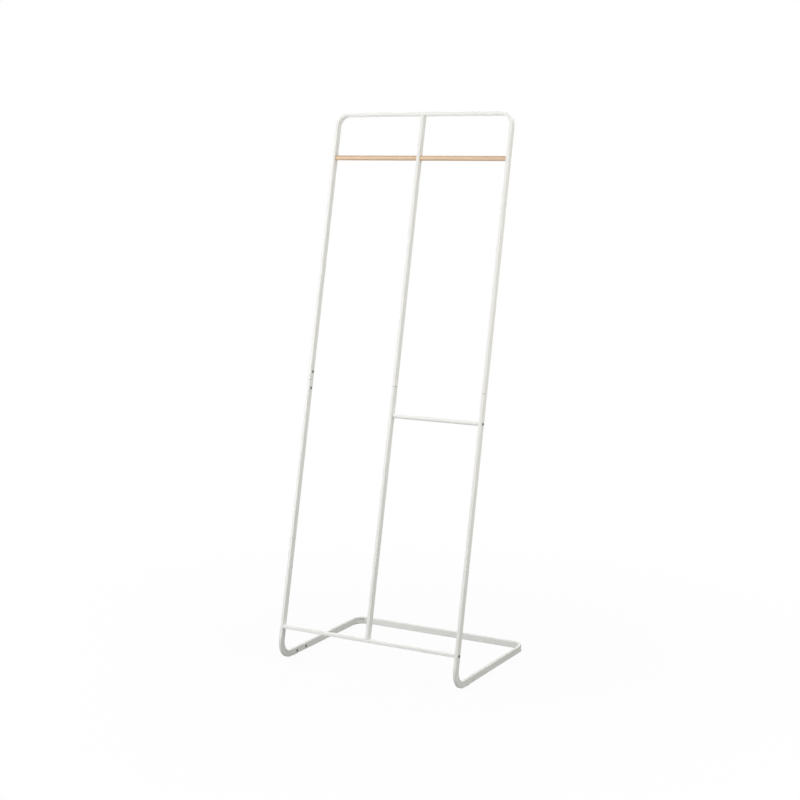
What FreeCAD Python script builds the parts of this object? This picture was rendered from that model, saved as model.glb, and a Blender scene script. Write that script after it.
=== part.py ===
"""Free-standing coat rack of flat steel tube with one wooden hanging rod.

Three posts lean back in one plane over a U-shaped base. The posts and the base rails come apart at
bolted sleeve joints, and the rails between the posts are bolted on through the posts.
X runs to the right, Y to the back and Z up. The origin is on the floor below the middle of the rack.
"""
import FreeCAD, Part
import math
import os

V = FreeCAD.Vector

# Overall sizes, mm
WIDTH = 600.0
DEPTH = 470.0
HEIGHT = 1640.0
LEAN = math.radians(12.5)

# Flat tube of the frame: narrow towards the front, deep from front to back
TUBE_WIDTH = 10.0
TUBE_DEPTH = 20.0
TUBE_WALL = 1.2
TUBE_CORNER = 2.0
LEAST_INNER_CORNER = 0.3

# Bend radii, measured on the tube's axis
TOP_BEND = 35.0
FRONT_BEND = 45.0
REAR_BEND = 35.0

# How far bending has drawn in the tube's outer and inner walls, half way round each rear bend
REAR_OUTER_DENT = 2.4
REAR_INNER_DENT = 3.6

# Heights above the floor, and drops below the top of the rack and below the joint in the posts
LOWER_RAIL_HEIGHT = 103.0
POST_JOINT_HEIGHT = 833.0
SIDE_RAIL_DROP = 85.0
ROD_DROP = 137.0

# Hanging rod and short side rail
ROD_DIAMETER = 15.0
ROD_SEAT = 4.2
ROD_FIT = 0.2
SIDE_RAIL_DIAMETER = 12.0
SIDE_RAIL_WALL = 1.2

# Sleeve joints in the posts and the base rails
INSERT_LENGTH = 100.0
INSERT_FIT = 0.15
JOINT_GAP = 1.0
JOINT_BOLT_SPACING = 50.0
BASE_JOINT_ROOM = 7.0

# Button-head bolts and the threaded plugs that they screw into
BOLT_DIAMETER = 5.0
BOLT_HEAD_DIAMETER = 9.0
BOLT_HEAD_HEIGHT = 2.6
BOLT_HEAD_RIM = 0.6
BOLT_HEAD_CROWN = 5.0
HEAD_BULGE = 0.15
FLAT_HEAD_DIAMETER = 9.2
SOCKET_WIDTH = 3.0
SOCKET_DEPTH = 1.6
BOLT_GRIP = 12.0
BOLT_TIP_ROOM = 0.5
HOLE_FIT = 0.2
THREAD_FIT = 0.1
PLUG_LENGTH = 20.0

# Screw that locks the rod from behind the centre post
LOCK_SCREW_DIAMETER = 3.5
LOCK_HEAD_DIAMETER = 6.4
LOCK_HEAD_HEIGHT = 2.0
LOCK_HEAD_RIM = 0.5
LOCK_HEAD_CROWN = 3.4
LOCK_SOCKET_WIDTH = 2.0
LOCK_SOCKET_DEPTH = 1.1
LOCK_SCREW_BITE = 9.0
LOCK_HOLE_TIP = 0.5

# Foot pads
PAD_THICKNESS = 0.8
PAD_WIDTH = 7.0
FRONT_PAD_LENGTH = 26.0
FRONT_PAD_SETBACK = 12.0
REAR_PAD_SWEEP = 80.0

# Cutters start this far outside the face that they open
CUT_MARGIN = 1.0

# Directions: along the width, up along the leaning posts, and square to their plane
RIGHT = V(1, 0, 0)
BACK = V(0, 1, 0)
UP = V(0, 0, 1)
SLOPE = V(0, math.sin(LEAN), math.cos(LEAN))
SLOPE_BACK = V(0, math.cos(LEAN), -math.sin(LEAN))

# Places that follow from the sizes above
POST_X = (WIDTH - TUBE_WIDTH) / 2
POST_INNER_X = POST_X - TUBE_WIDTH / 2
BASE_Z = PAD_THICKNESS + TUBE_DEPTH / 2
FRONT_TANGENT = FRONT_BEND * math.tan((math.pi / 2 + LEAN) / 2)
BEND_END_Y = -DEPTH / 2 + FRONT_BEND + TUBE_DEPTH / 2
HEEL_Y = BEND_END_Y - FRONT_TANGENT
REAR_Y = (DEPTH - TUBE_WIDTH) / 2
BASE_JOINT_Y = BEND_END_Y + INSERT_LENGTH / 2 + BASE_JOINT_ROOM
TOP_EDGE_RISE = (TUBE_DEPTH / 2 - TUBE_CORNER) * math.sin(LEAN) + TUBE_CORNER
TOP_FACE = TUBE_CORNER + (HEIGHT - BASE_Z - TOP_EDGE_RISE) / math.cos(LEAN)
TOP_AXIS = TOP_FACE - TUBE_WIDTH / 2
INNER_CORNER = max(TUBE_CORNER - TUBE_WALL, LEAST_INNER_CORNER)
BOLT_RADIUS = BOLT_DIAMETER / 2
FLAT_HEAD_RADIUS = FLAT_HEAD_DIAMETER / 2
FLAT_HEAD_DEPTH = FLAT_HEAD_RADIUS - BOLT_RADIUS
THREAD_RADIUS = BOLT_RADIUS + THREAD_FIT


def slope_length(height):
    """Distance up the posts' axis, from the heel of the rack, of a point at this height."""
    return (height - BASE_Z) / math.cos(LEAN)


ROD_S = slope_length(HEIGHT - ROD_DROP)
SIDE_RAIL_S = slope_length(POST_JOINT_HEIGHT - SIDE_RAIL_DROP)
LOWER_RAIL_S = slope_length(LOWER_RAIL_HEIGHT)
POST_JOINT_S = slope_length(POST_JOINT_HEIGHT)


def on_posts(x, s, back=0.0):
    """Point at x across the rack, s up the slope of the posts and back behind their mid plane."""
    return V(x, HEEL_Y, BASE_Z) + SLOPE * s + SLOPE_BACK * back


def on_base(x, y):
    """Point on the axis height of the base rails."""
    return V(x, y, BASE_Z)


def bent_path(points, radius):
    """Wire through the points, with a tangent arc of this radius at each corner between them."""
    edges = []
    start = points[0]
    for before, corner, after in zip(points, points[1:], points[2:]):
        towards_before = (before - corner).normalize()
        towards_after = (after - corner).normalize()
        half_angle = towards_before.getAngle(towards_after) / 2
        tangent = radius / math.tan(half_angle)
        bisector = (towards_before + towards_after).normalize()
        centre = corner + bisector * (radius / math.sin(half_angle))
        arc_start = corner + towards_before * tangent
        arc_end = corner + towards_after * tangent
        edges.append(Part.LineSegment(start, arc_start).toShape())
        edges.append(Part.Arc(arc_start, centre - bisector * radius, arc_end).toShape())
        start = arc_end
    edges.append(Part.LineSegment(start, points[-1]).toShape())
    return Part.Wire(edges)


def rounded_section(origin, along, normal, in_plane, across, corner):
    """Rounded rectangle square to along: across is measured on normal, in_plane at right angles to it."""
    side = normal.cross(along).normalize()
    turned = FreeCAD.Placement(FreeCAD.Matrix(
        side.x, normal.x, along.x, origin.x,
        side.y, normal.y, along.y, origin.y,
        side.z, normal.z, along.z, origin.z,
        0, 0, 0, 1))
    half_x = in_plane / 2
    half_y = across / 2
    bevel = corner * (1 - math.sqrt(0.5))
    edges = []
    for sx, sy, from_x in ((1, 1, True), (-1, 1, False), (-1, -1, True), (1, -1, False)):
        on_x_side = V(sx * half_x, sy * (half_y - corner), 0)
        on_y_side = V(sx * (half_x - corner), sy * half_y, 0)
        middle = V(sx * (half_x - bevel), sy * (half_y - bevel), 0)
        first, last = (on_x_side, on_y_side) if from_x else (on_y_side, on_x_side)
        if edges:
            edges.append(Part.LineSegment(edges[-1].Vertexes[-1].Point, first).toShape())
        edges.append(Part.Arc(first, middle, last).toShape())
    edges.append(Part.LineSegment(edges[-1].Vertexes[-1].Point, edges[0].Vertexes[0].Point).toShape())
    section = Part.Wire(edges)
    section.Placement = turned
    return section


def swept_bar(points, bend, normal, in_plane, across, corner):
    """Solid bar of rounded rectangular section along a bent path in the plane square to normal."""
    path = bent_path(points, bend)
    along = (points[1] - points[0]).normalize()
    section = rounded_section(points[0], along, normal, in_plane, across, corner)
    return path.makePipeShell([section], True, False)


def flat_tube(points, bend, normal, in_plane, across):
    """Hollow flat tube along a bent path."""
    outer = swept_bar(points, bend, normal, in_plane, across, TUBE_CORNER)
    wall = 2 * TUBE_WALL
    return outer.cut(swept_bar(points, bend, normal, in_plane - wall, across - wall, INNER_CORNER))


def tube_filler(points, normal, in_plane, across):
    """Solid straight bar that slides inside the flat tube: a sleeve insert or an end plug."""
    room = 2 * (TUBE_WALL + INSERT_FIT)
    return swept_bar(points, 0, normal, in_plane - room, across - room, INNER_CORNER)


def drill(seat, direction, length, radius):
    """Cutter for a hole from the face at seat inwards along direction."""
    start = seat - direction * CUT_MARGIN
    return Part.makeCylinder(radius, length + CUT_MARGIN, start, direction)


def bolt_hole(seat, direction, length):
    """Clearance hole for a bolt."""
    return drill(seat, direction, length, BOLT_RADIUS + HOLE_FIT)


def countersink(seat, direction):
    """Cutter for the seat of a flush screw's head."""
    mouth = FLAT_HEAD_RADIUS + HOLE_FIT
    return Part.makeCone(mouth, BOLT_RADIUS + HOLE_FIT, FLAT_HEAD_DEPTH, seat, direction)


def profile_wire(points, crown=None):
    """Closed outline through (radius, depth) points. The edge to the crown point is bowed outwards."""
    corners = [V(radius, 0, depth) for radius, depth in points]
    edges = []
    for index, (first, last) in enumerate(zip(corners, corners[1:] + corners[:1])):
        if index == crown:
            chord = last - first
            bowed = (first + last) * 0.5 + V(-chord.z, 0, chord.x) * HEAD_BULGE
            edges.append(Part.Arc(first, bowed, last).toShape())
        else:
            edges.append(Part.LineSegment(first, last).toShape())
    return Part.Wire(edges)


def turned_screw(profile, top, socket_width, socket_depth):
    """Screw turned from a profile, with a hexagon socket from the depth of its top inwards."""
    screw = Part.Face(profile).revolve(V(0, 0, 0), UP, 360)
    reach = socket_width / math.sqrt(3)
    turns = [math.radians(60 * i) for i in range(7)]
    corners = [V(reach * math.cos(turn), reach * math.sin(turn), top - CUT_MARGIN) for turn in turns]
    hexagon = Part.Face(Part.makePolygon(corners))
    return screw.cut(hexagon.extrude(UP * (socket_depth + CUT_MARGIN)))


def seated(screw, seat, direction):
    """The screw with its head at the face at seat, pointing along direction."""
    screw.Placement = FreeCAD.Placement(seat, FreeCAD.Rotation(UP, direction))
    return screw


def button_bolt(seat, direction, length):
    """Frame bolt. Its round head stands on the face at seat."""
    head = BOLT_HEAD_DIAMETER / 2
    profile = profile_wire([(0, length), (BOLT_RADIUS, length), (BOLT_RADIUS, 0), (head, 0),
                            (head, -BOLT_HEAD_RIM), (BOLT_HEAD_CROWN / 2, -BOLT_HEAD_HEIGHT),
                            (0, -BOLT_HEAD_HEIGHT)], crown=4)
    return seated(turned_screw(profile, -BOLT_HEAD_HEIGHT, SOCKET_WIDTH, SOCKET_DEPTH), seat, direction)


def flush_screw(seat, direction, length):
    """Screw of the centre post. Its flat head lies level with the face at seat."""
    profile = profile_wire([(0, length), (BOLT_RADIUS, length), (BOLT_RADIUS, FLAT_HEAD_DEPTH),
                            (FLAT_HEAD_RADIUS, 0), (0, 0)])
    return seated(turned_screw(profile, 0, SOCKET_WIDTH, SOCKET_DEPTH), seat, direction)


# Bolt places: where each head sits and the way that the bolt points
JOINT_BOLT_LENGTH = TUBE_WIDTH - TUBE_WALL - BOLT_TIP_ROOM
THROUGH_BOLT_LENGTH = TUBE_WIDTH + BOLT_GRIP
SIDES = {"left": -1, "right": 1}
BOLT_REACH = JOINT_BOLT_SPACING / 2


def inner_face(side):
    """X of the face of a post or base rail that looks to the middle, and the way into the tube."""
    return SIDES[side] * POST_INNER_X, RIGHT * SIDES[side]


def outer_face(side):
    """X of the outer face of a post, and the way into the tube."""
    return SIDES[side] * WIDTH / 2, RIGHT * -SIDES[side]


def post_joint_seat(side, step):
    """Seat of a post joint bolt: step is 1 above the joint and -1 below it."""
    x, inwards = inner_face(side)
    return on_posts(x, POST_JOINT_S + step * BOLT_REACH), inwards


def base_joint_seat(side, step):
    """Seat of a base joint bolt: step is 1 behind the joint and -1 in front of it."""
    x, inwards = inner_face(side)
    return on_base(x, BASE_JOINT_Y + step * BOLT_REACH), inwards


def rail_seat(side, s):
    """Seat of a bolt that holds a rail's end, on the outer face of a post."""
    x, inwards = outer_face(side)
    return on_posts(x, s), inwards


CENTRE_RAIL_SEAT = (on_posts(-TUBE_WIDTH / 2, SIDE_RAIL_S), RIGHT)
TOP_SCREW_SEAT = (on_posts(0, TOP_FACE), -SLOPE)
FOOT_SCREW_SEAT = (on_posts(0, LOWER_RAIL_S - TUBE_WIDTH / 2), SLOPE)
LOCK_SCREW_SEAT = (on_posts(0, ROD_S, TUBE_DEPTH / 2), -SLOPE_BACK)


def make_upper_frame():
    """Both upper posts and the top rail, bent from one tube."""
    foot = POST_JOINT_S + JOINT_GAP / 2
    points = [on_posts(-POST_X, foot), on_posts(-POST_X, TOP_AXIS),
              on_posts(POST_X, TOP_AXIS), on_posts(POST_X, foot)]
    frame = flat_tube(points, TOP_BEND, SLOPE_BACK, TUBE_WIDTH, TUBE_DEPTH)
    cutters = [bolt_hole(*TOP_SCREW_SEAT, TUBE_WIDTH + CUT_MARGIN), countersink(*TOP_SCREW_SEAT)]
    for side in SIDES:
        x, inwards = inner_face(side)
        cutters.append(bolt_hole(*post_joint_seat(side, 1), TUBE_WIDTH / 2))
        cutters.append(drill(on_posts(x, ROD_S), inwards, TUBE_WIDTH / 2, ROD_DIAMETER / 2 + ROD_FIT))
    return frame.cut(cutters)


def make_upper_centre_post():
    """Upper half of the centre post, with the through hole for the rod."""
    points = [on_posts(0, POST_JOINT_S + JOINT_GAP / 2), on_posts(0, TOP_FACE - TUBE_WIDTH)]
    post = flat_tube(points, 0, SLOPE_BACK, TUBE_WIDTH, TUBE_DEPTH)
    rod_hole = drill(on_posts(-TUBE_WIDTH / 2, ROD_S), RIGHT, TUBE_WIDTH + CUT_MARGIN,
                     ROD_DIAMETER / 2 + ROD_FIT)
    screw_hole = drill(*LOCK_SCREW_SEAT, TUBE_DEPTH / 4, LOCK_SCREW_DIAMETER / 2 + HOLE_FIT)
    return post.cut([rod_hole, screw_hole])


def make_lower_centre_post():
    """Lower half of the centre post. It stands on the lower rail."""
    points = [on_posts(0, LOWER_RAIL_S + TUBE_WIDTH / 2), on_posts(0, POST_JOINT_S - JOINT_GAP / 2)]
    post = flat_tube(points, 0, SLOPE_BACK, TUBE_WIDTH, TUBE_DEPTH)
    return post.cut(bolt_hole(*CENTRE_RAIL_SEAT, TUBE_WIDTH + CUT_MARGIN))


def make_leg(side):
    """Lower post, the bend at its foot and the front of the base rail, from one tube."""
    x = SIDES[side] * POST_X
    points = [on_posts(x, POST_JOINT_S - JOINT_GAP / 2), on_posts(x, 0),
              on_base(x, BASE_JOINT_Y - JOINT_GAP / 2)]
    leg = flat_tube(points, FRONT_BEND, RIGHT, TUBE_DEPTH, TUBE_WIDTH)
    cutters = [bolt_hole(*post_joint_seat(side, -1), TUBE_WIDTH / 2),
               bolt_hole(*base_joint_seat(side, -1), TUBE_WIDTH / 2),
               bolt_hole(*rail_seat(side, LOWER_RAIL_S), TUBE_WIDTH + CUT_MARGIN)]
    if side == "right":
        cutters.append(bolt_hole(*rail_seat(side, SIDE_RAIL_S), TUBE_WIDTH + CUT_MARGIN))
    return leg.cut(cutters)


def rear_bend_dent(side, way, radius, half_height):
    """Cutter that draws in one wall of a rear bend. way is 1 for the outer wall and -1 for the inner one.

    It is turned about an axis off the bend's own, so that it runs out level at both ends of the bend.
    """
    hand = SIDES[side]
    dent = REAR_OUTER_DENT if way > 0 else REAR_INNER_DENT
    outwards = V(hand, 1, 0).normalize()
    offset = dent / (1 - math.cos(math.pi / 4))
    hub = on_base(hand * (POST_X - REAR_BEND), REAR_Y - REAR_BEND) - outwards * (way * offset)
    start = RIGHT if hand > 0 else BACK
    deepest = radius + way * (offset - dent)
    level = deepest + way * dent
    clear = level + way * CUT_MARGIN

    def rim(reach, step):
        return hub + start * reach + UP * (step * half_height)

    hollow = Part.Arc(rim(level, -1), rim(deepest, 0), rim(level, 1)).toShape()
    outside = Part.makePolygon([rim(level, 1), rim(clear, 1), rim(clear, -1), rim(level, -1)])
    profile = Part.Wire([hollow] + outside.Edges)
    return Part.Face(profile).revolve(hub, UP, 90)


def base_loop_bar(points, in_plane, across, corner):
    """Solid bar along the base loop, drawn in at its two bends."""
    bar = swept_bar(points, REAR_BEND, UP, in_plane, across, corner)
    return bar.cut([rear_bend_dent(side, way, REAR_BEND + way * in_plane / 2, across / 2 - corner)
                    for side in SIDES for way in (1, -1)])


def make_base_loop():
    """Rear rail and both base side rails, bent from one tube."""
    front = BASE_JOINT_Y + JOINT_GAP / 2
    points = [on_base(-POST_X, front), on_base(-POST_X, REAR_Y),
              on_base(POST_X, REAR_Y), on_base(POST_X, front)]
    wall = 2 * TUBE_WALL
    bore = base_loop_bar(points, TUBE_WIDTH - wall, TUBE_DEPTH - wall, INNER_CORNER)
    loop = base_loop_bar(points, TUBE_WIDTH, TUBE_DEPTH, TUBE_CORNER).cut(bore)
    return loop.cut([bolt_hole(*base_joint_seat(side, 1), TUBE_WIDTH / 2) for side in SIDES])


def make_post_insert(x, side=None):
    """Sleeve insert of a post joint. The outer posts' inserts are tapped for two bolts."""
    points = [on_posts(x, POST_JOINT_S + step * INSERT_LENGTH / 2) for step in (-1, 1)]
    insert = tube_filler(points, SLOPE_BACK, TUBE_WIDTH, TUBE_DEPTH)
    if side:
        seats = [post_joint_seat(side, step) for step in (-1, 1)]
        insert = insert.cut([drill(*seat, TUBE_WIDTH, THREAD_RADIUS) for seat in seats])
    return insert


def make_base_insert(side):
    """Sleeve insert of a base joint, tapped for two bolts."""
    x = SIDES[side] * POST_X
    points = [on_base(x, BASE_JOINT_Y + step * INSERT_LENGTH / 2) for step in (-1, 1)]
    insert = tube_filler(points, UP, TUBE_WIDTH, TUBE_DEPTH)
    seats = [base_joint_seat(side, step) for step in (-1, 1)]
    return insert.cut([drill(*seat, TUBE_WIDTH, THREAD_RADIUS) for seat in seats])


def make_joint_bolts(seat_of):
    """The four bolts of one kind of sleeve joint."""
    return [button_bolt(*seat_of(side, step), JOINT_BOLT_LENGTH) for side in SIDES for step in (-1, 1)]


def make_lower_rail():
    """Rail between the legs, in the same flat tube. The centre post stands on it."""
    points = [on_posts(side * POST_INNER_X, LOWER_RAIL_S) for side in (-1, 1)]
    rail = flat_tube(points, 0, SLOPE_BACK, TUBE_WIDTH, TUBE_DEPTH)
    return rail.cut([bolt_hole(*FOOT_SCREW_SEAT, TUBE_WIDTH + CUT_MARGIN), countersink(*FOOT_SCREW_SEAT)])


def make_side_rail():
    """Short round tube between the centre post and the right leg."""
    start = on_posts(TUBE_WIDTH / 2, SIDE_RAIL_S)
    length = POST_INNER_X - TUBE_WIDTH / 2
    radius = SIDE_RAIL_DIAMETER / 2
    rail = Part.makeCylinder(radius, length, start, RIGHT)
    return rail.cut(Part.makeCylinder(radius - SIDE_RAIL_WALL, length, start, RIGHT))


def make_lower_rail_plugs():
    """Threaded plugs in the ends of the lower rail."""
    plugs = []
    for side in SIDES.values():
        points = [on_posts(side * (POST_INNER_X - inset), LOWER_RAIL_S) for inset in (0, PLUG_LENGTH)]
        plug = tube_filler(points, SLOPE_BACK, TUBE_WIDTH, TUBE_DEPTH)
        plugs.append(plug.cut(drill(points[0], RIGHT * -side, PLUG_LENGTH + CUT_MARGIN, THREAD_RADIUS)))
    return plugs


def make_side_rail_plugs():
    """Threaded round plugs in the ends of the side rail."""
    radius = SIDE_RAIL_DIAMETER / 2 - SIDE_RAIL_WALL - INSERT_FIT
    plugs = []
    for x, inwards in ((TUBE_WIDTH / 2, RIGHT), (POST_INNER_X, -RIGHT)):
        end = on_posts(x, SIDE_RAIL_S)
        plug = Part.makeCylinder(radius, PLUG_LENGTH, end, inwards)
        plugs.append(plug.cut(drill(end, inwards, PLUG_LENGTH + CUT_MARGIN, THREAD_RADIUS)))
    return plugs


def make_post_plug(s, into):
    """Threaded plug in an end of the centre post at s, reaching into the tube along into."""
    points = [on_posts(0, s), on_posts(0, s) + into * PLUG_LENGTH]
    plug = tube_filler(points, SLOPE_BACK, TUBE_WIDTH, TUBE_DEPTH)
    return plug.cut(drill(points[0], into, PLUG_LENGTH + CUT_MARGIN, THREAD_RADIUS))


def make_rod():
    """Wooden rod through the centre post, with its ends seated in the outer posts."""
    reach = POST_INNER_X + ROD_SEAT
    rod = Part.makeCylinder(ROD_DIAMETER / 2, 2 * reach, on_posts(-reach, ROD_S), RIGHT)
    seat, direction = LOCK_SCREW_SEAT
    depth = (TUBE_DEPTH - ROD_DIAMETER) / 2 + LOCK_SCREW_BITE + LOCK_HOLE_TIP
    return rod.cut(drill(seat, direction, depth, LOCK_SCREW_DIAMETER / 2 + THREAD_FIT))


def make_lock_screw():
    """Screw through the back of the centre post into the rod."""
    length = (TUBE_DEPTH - ROD_DIAMETER) / 2 + LOCK_SCREW_BITE
    shank = LOCK_SCREW_DIAMETER / 2
    head = LOCK_HEAD_DIAMETER / 2
    profile = profile_wire([(0, length), (shank, length), (shank, 0), (head, 0), (head, -LOCK_HEAD_RIM),
                            (LOCK_HEAD_CROWN / 2, -LOCK_HEAD_HEIGHT), (0, -LOCK_HEAD_HEIGHT)], crown=4)
    screw = turned_screw(profile, -LOCK_HEAD_HEIGHT, LOCK_SOCKET_WIDTH, LOCK_SOCKET_DEPTH)
    return seated(screw, *LOCK_SCREW_SEAT)


def make_front_pad(side):
    """Pad under the front of a base rail, behind the bend."""
    x = SIDES[side] * POST_X
    reach = (FRONT_PAD_LENGTH - PAD_WIDTH) / 2
    middle = BEND_END_Y + FRONT_PAD_SETBACK + FRONT_PAD_LENGTH / 2
    bar = Part.makeBox(PAD_WIDTH, 2 * reach, PAD_THICKNESS, V(x - PAD_WIDTH / 2, middle - reach, 0))
    ends = [Part.makeCylinder(PAD_WIDTH / 2, PAD_THICKNESS, V(x, middle + step * reach, 0))
            for step in (-1, 1)]
    return bar.fuse(ends).removeSplitter()


def make_rear_pad(side):
    """Curved pad under a rear bend of the base."""
    hand = SIDES[side]
    centre = V(hand * (POST_X - REAR_BEND), REAR_Y - REAR_BEND, 0)
    sweep = [Part.makeCylinder(REAR_BEND + step * PAD_WIDTH / 2, PAD_THICKNESS, centre, UP, REAR_PAD_SWEEP)
             for step in (1, -1)]
    pad = sweep[0].cut(sweep[1])
    corner_angle = math.degrees(math.atan2(1, hand))
    pad.rotate(centre, UP, corner_angle - REAR_PAD_SWEEP / 2)
    return pad


def make_nodes():
    """Every sub-part by name. Lists are groups of like fasteners or plugs."""
    nodes = {
        "upper_frame": make_upper_frame(),
        "upper_centre_post": make_upper_centre_post(),
        "lower_centre_post": make_lower_centre_post(),
        "front_lower_rail": make_lower_rail(),
        "short_side_rail": make_side_rail(),
        "base_loop": make_base_loop(),
        "hanging_rod": make_rod(),
        "rod_lock_screw": make_lock_screw(),
        "centre_post_insert": make_post_insert(0),
        "centre_post_top_plug": make_post_plug(TOP_FACE - TUBE_WIDTH, -SLOPE),
        "centre_post_foot_plug": make_post_plug(LOWER_RAIL_S + TUBE_WIDTH / 2, SLOPE),
        "centre_post_top_screw": flush_screw(*TOP_SCREW_SEAT, THROUGH_BOLT_LENGTH),
        "centre_post_foot_screw": flush_screw(*FOOT_SCREW_SEAT, THROUGH_BOLT_LENGTH),
        "lower_rail_plugs": make_lower_rail_plugs(),
        "side_rail_plugs": make_side_rail_plugs(),
        "post_joint_bolts": make_joint_bolts(post_joint_seat),
        "base_joint_bolts": make_joint_bolts(base_joint_seat),
        "lower_rail_bolts": [button_bolt(*rail_seat(side, LOWER_RAIL_S), THROUGH_BOLT_LENGTH)
                             for side in SIDES],
        "side_rail_bolts": [button_bolt(*seat, THROUGH_BOLT_LENGTH)
                            for seat in (CENTRE_RAIL_SEAT, rail_seat("right", SIDE_RAIL_S))],
    }
    for side, hand in SIDES.items():
        nodes[side + "_leg"] = make_leg(side)
        nodes[side + "_post_insert"] = make_post_insert(hand * POST_X, side)
        nodes[side + "_base_insert"] = make_base_insert(side)
        nodes["front_" + side + "_foot_pad"] = make_front_pad(side)
        nodes["rear_" + side + "_foot_pad"] = make_rear_pad(side)
    return nodes


os.makedirs("parts", exist_ok=True)
for name, shape in make_nodes().items():
    if isinstance(shape, list):
        shape = Part.makeCompound(shape)
    shape.exportStep(os.path.join("parts", name + ".step"))
    solids = shape.Solids
    volume = sum(solid.Volume for solid in solids)
    print(f"{name}: {len(solids)} solid(s), {volume:.0f} mm3, valid {shape.isValid()}")
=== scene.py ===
"""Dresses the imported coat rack: painted tubes, wooden rod, dark fasteners, rubber pads, white studio."""

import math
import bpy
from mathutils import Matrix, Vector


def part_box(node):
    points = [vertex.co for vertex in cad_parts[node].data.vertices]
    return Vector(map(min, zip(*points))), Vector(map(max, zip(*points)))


bl_info = {
    "name": "Coat Rack Finish",
    "version": (1, 0, 0),
    "blender": (4, 5, 0),
    "location": "3D View > Sidebar > Coat Rack",
    "description": "Paints the tubes, grains the rod, blackens the bolts and sets up the studio",
    "category": "Object",
}

import bpy
from bpy.props import FloatProperty, FloatVectorProperty, PointerProperty
from mathutils import Vector

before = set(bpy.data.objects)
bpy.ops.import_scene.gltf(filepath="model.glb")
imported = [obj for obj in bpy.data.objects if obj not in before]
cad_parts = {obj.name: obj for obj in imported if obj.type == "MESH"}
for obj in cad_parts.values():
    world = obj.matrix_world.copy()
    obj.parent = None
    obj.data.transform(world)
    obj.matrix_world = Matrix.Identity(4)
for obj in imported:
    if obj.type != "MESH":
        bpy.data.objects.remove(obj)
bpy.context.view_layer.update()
ROD_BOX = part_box("hanging_rod")

TUBES = ("upper_frame", "upper_centre_post", "lower_centre_post", "left_leg", "right_leg",
         "front_lower_rail", "short_side_rail", "base_loop")
FASTENERS = ("post_joint_bolts", "base_joint_bolts", "lower_rail_bolts", "side_rail_bolts",
             "centre_post_top_screw", "centre_post_foot_screw", "rod_lock_screw")
INNER_PIECES = ("left_post_insert", "right_post_insert", "centre_post_insert", "left_base_insert",
                "right_base_insert", "centre_post_top_plug", "centre_post_foot_plug", "lower_rail_plugs",
                "side_rail_plugs")
PADS = ("front_left_foot_pad", "front_right_foot_pad", "rear_left_foot_pad", "rear_right_foot_pad")

# Powder coat: faint clouds in its colour and roughness, on both sides of the noise's middle
NOISE_MIDDLE = 0.5
CLOUD_SIZE = 0.11
CLOUD_LIMITS = (0.3, 0.7)
CLOUD_LEVEL = 0.985
CLOUD_ROUGHNESS = 0.1

# Growth rings: where the heart of the tree lies from the middle of the rod, and how the rings wander
# The heart lies so that the broad dark bands fall on the rod's top and bottom edges, as painted shade
HEART_BEHIND = 0.008
HEART_BELOW = 0.0535
RING_STRETCH = (0.04, 1, 1)
RING_WANDER = {"Distortion": 1.6, "Detail": 2.0, "Detail Scale": 1.2}
ONE_RING_PER_METRE = 0.314
RING_STAIN = 0.12
# Broad dark bands: grain that also paints shade along the rod's top and bottom edges
SHADE_BAND_LIMITS = (0.3, 1.0)
BAND_GRAIN_AND_SHADE = 0.68

# Fibres and flecks of the wood, drawn out along the rod
FIBRE_SIZE = 0.0011
FIBRE_STRETCH = (0.03, 1, 1)
FIBRE_LIMITS = (0.36, 0.64)
FIBRE_STAIN = 0.28
FIBRE_ROUGHNESS = 0.12
FLECK_SIZE = 0.0008
FLECK_STRETCH = (0.10, 1, 1)
FLECK_LIMITS = (0.62, 0.70)
FLECK_STAIN = 0.3
FLECK_SINK = 0.6
GRAIN_DEPTH = 0.00004

# Dark zinc: a cloudy bloom and a fine tooth
BLOOM_SIZE = 0.004
BLOOM_DARK = 0.8
BLOOM_PALE = 1.25
BLOOM_ROUGHNESS = 0.2
ZINC_METALLIC = 0.9
ZINC_ROUGHNESS = 0.3
ZINC_TOOTH_SIZE = 0.0004
ZINC_TOOTH_DEPTH = 0.00001

# Bare steel: fine lines from drawing
LINE_SIZE = 0.0008
LINE_STRETCH = (1, 0.2, 0.05)
LINE_LEVEL = 0.85
LINE_ROUGHNESS = 0.18
LINE_DEPTH = 0.00001
BARE_ROUGHNESS = 0.32

# Rubber: the grain of its mould
GRIT_SIZE = 0.0007
GRIT_LEVEL = 1.5
GRIT_ROUGHNESS = 0.2
GRIT_DEPTH = 0.00005
RUBBER_ROUGHNESS = 0.7

# Floor: grey that takes the shadow, grey that sends light back up, and where the fade to white begins
WHITE = (1, 1, 1, 1)
SHADOW_GREY = (0.9, 0.9, 0.9, 1)
BOUNCE_GREY = (0.3, 0.3, 0.3, 1)
FLOOR_SIZE = 30
FADE_START = 0.5

# Lamps: width and height of each kind, and each lamp's place and the point that it faces
SOFTBOX = (1.8, 1.8)
SMALL_SOFTBOX = (1.3, 1.3)
BOUNCE_BOARD = (2.0, 1.08)
PLAIN_LIGHT = (1, 1, 1)
MIDDLE_OF_RACK = (0, 0, 1)
LAMP_PLACES = {
    "front_light": ((-2.26, -1.58, 1.15), MIDDLE_OF_RACK),
    "high_light": ((-2.0, -2.2, 2.4), MIDDLE_OF_RACK),
    "side_light": ((1.85, -0.55, 1.8), MIDDLE_OF_RACK),
    "back_light": ((-0.08, 2.42, 2.4), MIDDLE_OF_RACK),
    "top_light": ((0.24, 0, 3.79), MIDDLE_OF_RACK),
    "front_bounce": ((0.33, -2.33, 0.385), (0.18, -0.83, 1.925)),
    "right_bounce": ((2.33, 0, 0.385), (0.83, 0, 1.925)),
    "back_bounce": ((0, 2.33, 0.385), (0, 0.83, 1.925)),
    "left_bounce": ((-1.72, 1.81, 0.41), (-0.42, 0.61, 1.95)),
}

SENSOR_WIDTH = 36.0


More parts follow.
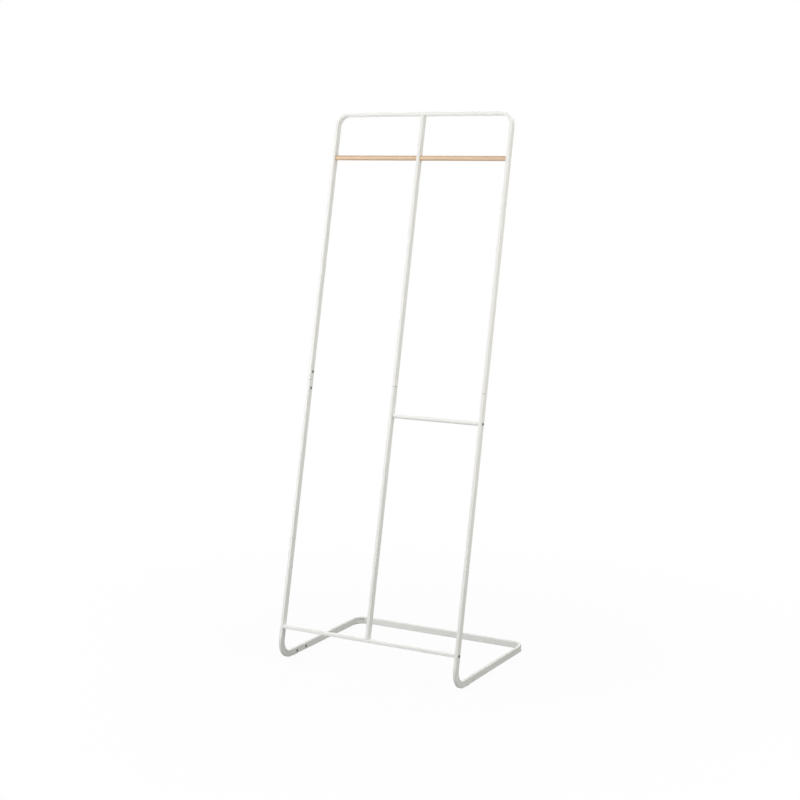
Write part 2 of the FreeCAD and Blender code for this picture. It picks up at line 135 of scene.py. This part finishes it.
class Shade:
    """A socket of a shader tree. Sums, differences and products of shades add Math nodes."""

    def __init__(self, tree, socket):
        self.tree = tree
        self.socket = socket

    @classmethod
    def node(cls, tree, kind, settings=None, inputs=None, output=0):
        """Adds a node, sets it up, fills or links its inputs and returns one of its outputs."""
        made = tree.nodes.new(kind)
        for key, value in (settings or {}).items():
            setattr(made, key, value)
        for key, value in (inputs or {}).items():
            if isinstance(value, Shade):
                tree.links.new(value.socket, made.inputs[key])
            else:
                made.inputs[key].default_value = value
        return cls(tree, made.outputs[output]) if made.outputs else None

    def maths(self, operation, first, second):
        """Adds a Math node to this shade's tree."""
        return Shade.node(self.tree, "ShaderNodeMath", {"operation": operation}, {0: first, 1: second})

    def __add__(self, other):
        return self.maths("ADD", self, other)

    def __radd__(self, other):
        return self.maths("ADD", other, self)

    def __sub__(self, other):
        return self.maths("SUBTRACT", self, other)

    def __rsub__(self, other):
        return self.maths("SUBTRACT", other, self)

    def __mul__(self, other):
        return self.maths("MULTIPLY", self, other)

    def __rmul__(self, other):
        return self.maths("MULTIPLY", other, self)


def new_tree(name):
    """An empty material and its node tree."""
    material = bpy.data.materials.new(name)
    material.use_nodes = True
    material.node_tree.nodes.clear()
    return material, material.node_tree


def close_tree(tree, surface):
    """Links the surface to the material's output."""
    Shade.node(tree, "ShaderNodeOutputMaterial", inputs={"Surface": surface})


def surface_place(tree, location=(0, 0, 0), scale=(1, 1, 1)):
    """The piece's own coordinates, measured from location and then scaled."""
    coords = Shade.node(tree, "ShaderNodeTexCoord", output="Object")
    moved = Shade.node(tree, "ShaderNodeVectorMath", {"operation": "SUBTRACT"}, {0: coords, 1: location})
    return Shade.node(tree, "ShaderNodeVectorMath", {"operation": "MULTIPLY"}, {0: moved, 1: scale})


def noise(tree, place, size, detail=2):
    """Soft noise whose patches are about size metres across."""
    return Shade.node(tree, "ShaderNodeTexNoise",
                      inputs={"Vector": place, "Scale": 1 / size, "Detail": detail})


def spread(tree, value, low, high):
    """Maps value from the range low to high onto 0 to 1 and cuts it off there."""
    return Shade.node(tree, "ShaderNodeMapRange",
                      inputs={"Value": value, "From Min": low, "From Max": high})


def blend(tree, factor, first, second):
    """Mixes two colours: the first where factor is 0, the second where it is 1."""
    return Shade.node(tree, "ShaderNodeMix", {"data_type": "RGBA"},
                      {0: factor, 6: first, 7: second}, output=2)


def relief(tree, height, depth):
    """Normal of a surface whose height pattern is depth metres deep."""
    return Shade.node(tree, "ShaderNodeBump",
                      inputs={"Strength": 1.0, "Distance": depth, "Height": height})


def opaque(colour, level=1.0):
    """A colour as a socket value, darkened or lightened by level."""
    return (colour[0] * level, colour[1] * level, colour[2] * level, 1.0)


def dress(names, material):
    """Gives CAD nodes a finish."""
    for name in names:
        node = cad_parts[name]
        if not node.material_slots:
            raise RuntimeError(name + " has no material slot")
        for slot in node.material_slots:
            slot.material = material


class PaintSettings(bpy.types.PropertyGroup):
    """Powder coat of the tubes."""
    colour: FloatVectorProperty(
        name="Colour", description="Colour of the powder coat",
        subtype="COLOR", size=3, min=0, max=1, default=(0.86, 0.86, 0.84))
    roughness: FloatProperty(
        name="Roughness", description="How matt the coat is",
        subtype="FACTOR", min=0, max=1, default=0.58)
    peel_size: FloatProperty(
        name="Peel size", description="Width of the coat's orange-peel ripples",
        unit="LENGTH", precision=5, default=0.0018)
    peel_depth: FloatProperty(
        name="Peel depth", description="Depth of the coat's orange-peel ripples",
        unit="LENGTH", precision=6, default=0.00001)


class WoodSettings(bpy.types.PropertyGroup):
    """Wood of the hanging rod."""
    pale: FloatVectorProperty(
        name="Pale wood", description="Colour between the growth rings",
        subtype="COLOR", size=3, min=0, max=1, default=(0.87, 0.65, 0.455))
    dark: FloatVectorProperty(
        name="Dark wood", description="Colour of the growth rings",
        subtype="COLOR", size=3, min=0, max=1, default=(0.50, 0.34, 0.22))
    ring_gap: FloatProperty(
        name="Ring gap", description="Distance from one growth ring to the next",
        unit="LENGTH", precision=4, default=0.0032)
    # The broad dark bands also paint shade along the rod's top and bottom edges
    shade_band_gap: FloatProperty(
        name="Band gap", description="Distance from one broad dark band to the next",
        unit="LENGTH", precision=4, default=0.0135)
    roughness: FloatProperty(
        name="Roughness", description="How matt the lacquer is",
        subtype="FACTOR", min=0, max=1, default=0.55)


class SteelSettings(bpy.types.PropertyGroup):
    """Steel of the fasteners and of the pieces inside the tubes."""
    dark: FloatVectorProperty(
        name="Fasteners", description="Colour of the bolts and screws",
        subtype="COLOR", size=3, min=0, max=1, default=(0.16, 0.16, 0.165))
    bare: FloatVectorProperty(
        name="Inner pieces", description="Colour of the inserts and plugs",
        subtype="COLOR", size=3, min=0, max=1, default=(0.22, 0.22, 0.23))


class RubberSettings(bpy.types.PropertyGroup):
    """Rubber of the foot pads."""
    colour: FloatVectorProperty(
        name="Colour", description="Colour of the foot pads",
        subtype="COLOR", size=3, min=0, max=1, default=(0.05, 0.05, 0.05))


class StageSettings(bpy.types.PropertyGroup):
    """Studio light, floor and camera."""
    sky_level: FloatProperty(
        name="Room light", description="Brightness of the even light from all round",
        min=0, default=0.064)
    front_power: FloatProperty(
        name="Front light", description="Power of the soft light at the front left",
        unit="POWER", min=0, default=42.1)
    high_power: FloatProperty(
        name="High light", description="Power of the raised soft light at the front left",
        unit="POWER", min=0, default=25.4)
    side_power: FloatProperty(
        name="Side light", description="Power of the soft light on the right",
        unit="POWER", min=0, default=16.3)
    right_tint: FloatVectorProperty(
        name="Right tint", description="Colour of the two lights on the right",
        subtype="COLOR", size=3, min=0, max=1, default=(1.0, 0.99, 0.92))
    back_power: FloatProperty(
        name="Back light", description="Power of the soft light behind the rack",
        unit="POWER", min=0, default=14.0)
    top_power: FloatProperty(
        name="Top light", description="Power of the soft light overhead",
        unit="POWER", min=0, default=41.8)
    front_bounce_power: FloatProperty(
        name="Front bounce light", description="Power of the low light in front",
        unit="POWER", min=0, default=16.5)
    right_bounce_power: FloatProperty(
        name="Right bounce light", description="Power of the low light on the right",
        unit="POWER", min=0, default=14.0)
    back_bounce_power: FloatProperty(
        name="Back bounce lights", description="Power of each of the two low lights behind",
        unit="POWER", min=0, default=15.6)
    floor_white: FloatProperty(
        name="Floor white", description="Share of plain white in the floor near the rack",
        subtype="FACTOR", min=0, max=1, default=0.93)
    shadow_reach: FloatProperty(
        name="Shadow reach", description="Distance at which the floor turns plain white",
        unit="LENGTH", min=0.6, default=1.6)
    camera_place: FloatVectorProperty(
        name="Camera place", description="Where the camera stands",
        subtype="XYZ", unit="LENGTH", size=3, default=(2.3327, -4.1792, 1.5366))
    camera_turn: FloatProperty(
        name="Camera turn", description="Turn of the camera to the left from straight on",
        subtype="ANGLE", default=math.radians(29.30))
    camera_dip: FloatProperty(
        name="Camera dip", description="Tilt of the camera below the horizon",
        subtype="ANGLE", default=math.radians(6.80))
    lens: FloatProperty(
        name="Lens", description="Focal length in millimetres on a 36 mm sensor", default=72.89)
    lens_shift: FloatProperty(
        name="Lens shift", description="Vertical shift of the lens", default=-0.075)


class CoatRackSettings(bpy.types.PropertyGroup):
    """Everything that a user of the coat rack can change."""
    paint: PointerProperty(type=PaintSettings, name="Paint", description="Powder coat of the tubes")
    wood: PointerProperty(type=WoodSettings, name="Wood", description="Wood of the hanging rod")
    steel: PointerProperty(type=SteelSettings, name="Steel", description="Steel of the bolts and inserts")
    rubber: PointerProperty(type=RubberSettings, name="Rubber", description="Rubber of the foot pads")
    stage: PointerProperty(type=StageSettings, name="Stage", description="Studio light, floor and camera")


class COATRACK_OT_paint_tubes(bpy.types.Operator):
    """Gives the posts, rails, legs and base their white powder coat"""
    bl_idname = "coatrack.paint_tubes"
    bl_label = "Paint the Tubes"

    def execute(self, context):
        paint = context.scene.coat_rack.paint
        material, tree = new_tree("white_powder_coat")
        place = surface_place(tree)
        clouds = noise(tree, place, CLOUD_SIZE, detail=3)
        peel = noise(tree, place, paint.peel_size, detail=1)
        cloud_marks = spread(tree, clouds, *CLOUD_LIMITS)
        surface = Shade.node(tree, "ShaderNodeBsdfPrincipled", inputs={
            "Base Color": blend(tree, cloud_marks, opaque(paint.colour, CLOUD_LEVEL), opaque(paint.colour)),
            "Roughness": paint.roughness + (clouds - NOISE_MIDDLE) * CLOUD_ROUGHNESS,
            "Normal": relief(tree, peel, paint.peel_depth)})
        close_tree(tree, surface)
        dress(TUBES, material)
        return {"FINISHED"}


class COATRACK_OT_grain_rod(bpy.types.Operator):
    """Gives the hanging rod its wood grain and painted shade along its top and bottom edges"""
    bl_idname = "coatrack.grain_rod"
    bl_label = "Grain the Rod"

    def execute(self, context):
        wood = context.scene.coat_rack.wood
        material, tree = new_tree("clear_lacquered_wood")
        middle = [(low + high) / 2 for low, high in zip(*ROD_BOX)]
        heart = (middle[0], middle[1] + HEART_BEHIND, middle[2] - HEART_BELOW)
        rings = self.growth(tree, heart, wood.ring_gap)
        # The broad bands paint shade along the rod's top and bottom edges, on top of the real grain
        shade_bands = self.growth(tree, heart, wood.shade_band_gap)
        edge_shade_marks = spread(tree, shade_bands, *SHADE_BAND_LIMITS)
        fibres = noise(tree, surface_place(tree, middle, FIBRE_STRETCH), FIBRE_SIZE, detail=3)
        fibre_marks = spread(tree, fibres, *FIBRE_LIMITS)
        flecks = noise(tree, surface_place(tree, middle, FLECK_STRETCH), FLECK_SIZE, detail=1)
        fleck_marks = spread(tree, flecks, *FLECK_LIMITS)
        # The wood's darkening: real grain, plus painted shade on the rod's top and bottom edges
        ring_grain_and_edge_shade = edge_shade_marks * BAND_GRAIN_AND_SHADE + rings * RING_STAIN
        grain_and_painted_shade = ring_grain_and_edge_shade + fibre_marks * FIBRE_STAIN + fleck_marks * FLECK_STAIN
        surface = Shade.node(tree, "ShaderNodeBsdfPrincipled", inputs={
            "Base Color": blend(tree, grain_and_painted_shade, opaque(wood.pale), opaque(wood.dark)),
            "Roughness": wood.roughness + fibres * FIBRE_ROUGHNESS,
            "Normal": relief(tree, fibres - fleck_marks * FLECK_SINK, GRAIN_DEPTH)})
        close_tree(tree, surface)
        dress(["hanging_rod"], material)
        return {"FINISHED"}

    @staticmethod
    def growth(tree, heart, gap):
        """Long rings round the heart of the tree, 1 on each dark ring, one ring to each gap."""
        return Shade.node(tree, "ShaderNodeTexWave", {"wave_type": "RINGS", "rings_direction": "X"}, {
            "Vector": surface_place(tree, heart, RING_STRETCH),
            "Scale": ONE_RING_PER_METRE / gap,
            **RING_WANDER})


class COATRACK_OT_blacken_fasteners(bpy.types.Operator):
    """Gives the bolts and screws their dark zinc finish"""
    bl_idname = "coatrack.blacken_fasteners"
    bl_label = "Blacken the Fasteners"

    def execute(self, context):
        steel = context.scene.coat_rack.steel
        material, tree = new_tree("dark_zinc")
        place = surface_place(tree)
        bloom = noise(tree, place, BLOOM_SIZE, detail=3)
        tooth = noise(tree, place, ZINC_TOOTH_SIZE)
        darkest = opaque(steel.dark, BLOOM_DARK)
        palest = opaque(steel.dark, BLOOM_PALE)
        surface = Shade.node(tree, "ShaderNodeBsdfPrincipled", inputs={
            "Base Color": blend(tree, bloom, darkest, palest),
            "Metallic": ZINC_METALLIC,
            "Roughness": ZINC_ROUGHNESS + bloom * BLOOM_ROUGHNESS,
            "Normal": relief(tree, tooth, ZINC_TOOTH_DEPTH)})
        close_tree(tree, surface)
        dress(FASTENERS, material)
        return {"FINISHED"}


class COATRACK_OT_finish_inner_pieces(bpy.types.Operator):
    """Gives the inserts and plugs inside the tubes their bare drawn steel"""
    bl_idname = "coatrack.finish_inner_pieces"
    bl_label = "Finish the Inner Pieces"

    def execute(self, context):
        steel = context.scene.coat_rack.steel
        material, tree = new_tree("bare_drawn_steel")
        lines = noise(tree, surface_place(tree, scale=LINE_STRETCH), LINE_SIZE, detail=3)
        surface = Shade.node(tree, "ShaderNodeBsdfPrincipled", inputs={
            "Base Color": blend(tree, lines, opaque(steel.bare, LINE_LEVEL), opaque(steel.bare)),
            "Metallic": 1.0,
            "Roughness": BARE_ROUGHNESS + lines * LINE_ROUGHNESS,
            "Normal": relief(tree, lines, LINE_DEPTH)})
        close_tree(tree, surface)
        dress(INNER_PIECES, material)
        return {"FINISHED"}


class COATRACK_OT_mould_pads(bpy.types.Operator):
    """Gives the foot pads their moulded rubber"""
    bl_idname = "coatrack.mould_pads"
    bl_label = "Mould the Pads"

    def execute(self, context):
        rubber = context.scene.coat_rack.rubber
        material, tree = new_tree("pad_rubber")
        grit = noise(tree, surface_place(tree), GRIT_SIZE)
        surface = Shade.node(tree, "ShaderNodeBsdfPrincipled", inputs={
            "Base Color": blend(tree, grit, opaque(rubber.colour), opaque(rubber.colour, GRIT_LEVEL)),
            "Roughness": RUBBER_ROUGHNESS + grit * GRIT_ROUGHNESS,
            "Normal": relief(tree, grit, GRIT_DEPTH)})
        close_tree(tree, surface)
        dress(PADS, material)
        return {"FINISHED"}


class COATRACK_OT_set_stage(bpy.types.Operator):
    """Adds the white floor, the soft studio light and the camera"""
    bl_idname = "coatrack.set_stage"
    bl_label = "Set the Stage"

    def execute(self, context):
        stage = context.scene.coat_rack.stage
        bpy.ops.object.select_all(action="DESELECT")
        self.lay_floor(stage)
        self.light_room(context.scene, stage)
        self.hang_lamp("front_light", stage.front_power, SOFTBOX)
        self.hang_lamp("high_light", stage.high_power, SOFTBOX)
        self.hang_lamp("side_light", stage.side_power, SMALL_SOFTBOX, stage.right_tint)
        self.hang_lamp("back_light", stage.back_power, SOFTBOX)
        self.hang_lamp("top_light", stage.top_power, SOFTBOX)
        self.hang_lamp("front_bounce", stage.front_bounce_power, BOUNCE_BOARD)
        self.hang_lamp("right_bounce", stage.right_bounce_power, BOUNCE_BOARD, stage.right_tint)
        self.hang_lamp("back_bounce", stage.back_bounce_power, BOUNCE_BOARD)
        self.hang_lamp("left_bounce", stage.back_bounce_power, BOUNCE_BOARD)
        self.place_camera(context.scene, stage)
        context.scene.view_settings.view_transform = "Standard"
        return {"FINISHED"}

    @staticmethod
    def seen_directly(tree):
        """1 where the camera, a reflection or clear material looks, 0 for light that falls on the rack."""
        camera, mirrored, clear = [
            Shade.node(tree, "ShaderNodeLightPath", output=name)
            for name in ("Is Camera Ray", "Is Glossy Ray", "Is Transmission Ray")]
        either = camera.maths("MAXIMUM", camera, mirrored)
        return either.maths("MAXIMUM", either, clear)

    def lay_floor(self, stage):
        """Lays a floor that looks white, keeps the rack's shadow and sends little light back up."""
        bpy.ops.mesh.primitive_plane_add(size=FLOOR_SIZE)
        floor = bpy.context.object
        floor.name = "floor"
        material, tree = new_tree("white_floor")
        coords = Shade.node(tree, "ShaderNodeTexCoord", output="Object")
        away = Shade.node(
            tree, "ShaderNodeVectorMath", {"operation": "LENGTH"}, {0: coords}, output="Value")
        fade = spread(tree, away, FADE_START, stage.shadow_reach)
        white = Shade.node(tree, "ShaderNodeEmission", inputs={"Color": WHITE, "Strength": 1.0})
        shaded = Shade.node(tree, "ShaderNodeBsdfDiffuse", inputs={"Color": SHADOW_GREY})
        share = stage.floor_white + fade * (1 - stage.floor_white)
        seen = Shade.node(tree, "ShaderNodeMixShader", inputs={0: share, 1: shaded, 2: white})
        unseen = Shade.node(tree, "ShaderNodeBsdfDiffuse", inputs={"Color": BOUNCE_GREY})
        looked_at = self.seen_directly(tree)
        close_tree(tree, Shade.node(tree, "ShaderNodeMixShader", inputs={0: looked_at, 1: unseen, 2: seen}))
        # The floor's white lights nothing, so it isn't sampled as a lamp
        material.cycles.emission_sampling = "NONE"
        floor.data.materials.append(material)

    def light_room(self, scene, stage):
        """Gives the room a faint even light, and plain white where it is looked at."""
        world = bpy.data.worlds.new("studio")
        world.use_nodes = True
        tree = world.node_tree
        tree.nodes.clear()
        level = stage.sky_level
        faint = Shade.node(tree, "ShaderNodeBackground", inputs={"Color": WHITE, "Strength": level})
        white = Shade.node(tree, "ShaderNodeBackground", inputs={"Color": WHITE, "Strength": 1.0})
        looked_at = self.seen_directly(tree)
        room = Shade.node(tree, "ShaderNodeMixShader", inputs={0: looked_at, 1: faint, 2: white})
        Shade.node(tree, "ShaderNodeOutputWorld", inputs={"Surface": room})
        scene.world = world

    @staticmethod
    def hang_lamp(name, power, size, tint=PLAIN_LIGHT):
        """Hangs a rectangular lamp at its place and turns it to the point that it faces."""
        place, target = LAMP_PLACES[name]
        bpy.ops.object.light_add(type="AREA", location=place)
        lamp = bpy.context.object
        lamp.name = name
        lamp.data.shape = "RECTANGLE"
        lamp.data.size, lamp.data.size_y = size
        lamp.data.energy = power
        lamp.data.color = tint
        lamp.visible_camera = False
        aim = lamp.location - Vector(target)
        lamp.rotation_euler = aim.to_track_quat("Z", "Y").to_euler()

    @staticmethod
    def place_camera(scene, stage):
        """Places the camera where the photograph was taken."""
        bpy.ops.object.camera_add(
            location=stage.camera_place,
            rotation=(math.pi / 2 - stage.camera_dip, 0, stage.camera_turn))
        camera = bpy.context.object
        camera.name = "photo_camera"
        camera.data.sensor_width = SENSOR_WIDTH
        camera.data.lens = stage.lens
        camera.data.shift_y = stage.lens_shift
        scene.camera = camera


STEPS = (COATRACK_OT_paint_tubes, COATRACK_OT_grain_rod, COATRACK_OT_blacken_fasteners,
         COATRACK_OT_finish_inner_pieces, COATRACK_OT_mould_pads, COATRACK_OT_set_stage)


class COATRACK_PT_sidebar(bpy.types.Panel):
    """Lists the coat rack's finishes and steps"""
    bl_label = "Coat Rack"
    bl_idname = "COATRACK_PT_sidebar"
    bl_space_type = "VIEW_3D"
    bl_region_type = "UI"
    bl_category = "Coat Rack"

    def draw(self, context):
        settings = context.scene.coat_rack
        for group in (settings.paint, settings.wood, settings.steel, settings.rubber, settings.stage):
            box = self.layout.box()
            for name in group.bl_rna.properties.keys():
                if name not in ("rna_type", "name"):
                    box.prop(group, name)
        for step in STEPS:
            self.layout.operator(step.bl_idname)


CLASSES = (PaintSettings, WoodSettings, SteelSettings, RubberSettings, StageSettings, CoatRackSettings,
           *STEPS, COATRACK_PT_sidebar)


def register():
    for cls in CLASSES:
        bpy.utils.register_class(cls)
    bpy.types.Scene.coat_rack = PointerProperty(type=CoatRackSettings)


def unregister():
    del bpy.types.Scene.coat_rack
    for cls in reversed(CLASSES):
        bpy.utils.unregister_class(cls)


def main():
    register()
    bpy.ops.coatrack.paint_tubes()
    bpy.ops.coatrack.grain_rod()
    bpy.ops.coatrack.blacken_fasteners()
    bpy.ops.coatrack.finish_inner_pieces()
    bpy.ops.coatrack.mould_pads()
    bpy.ops.coatrack.set_stage()


if __name__ == "__main__":
    main()
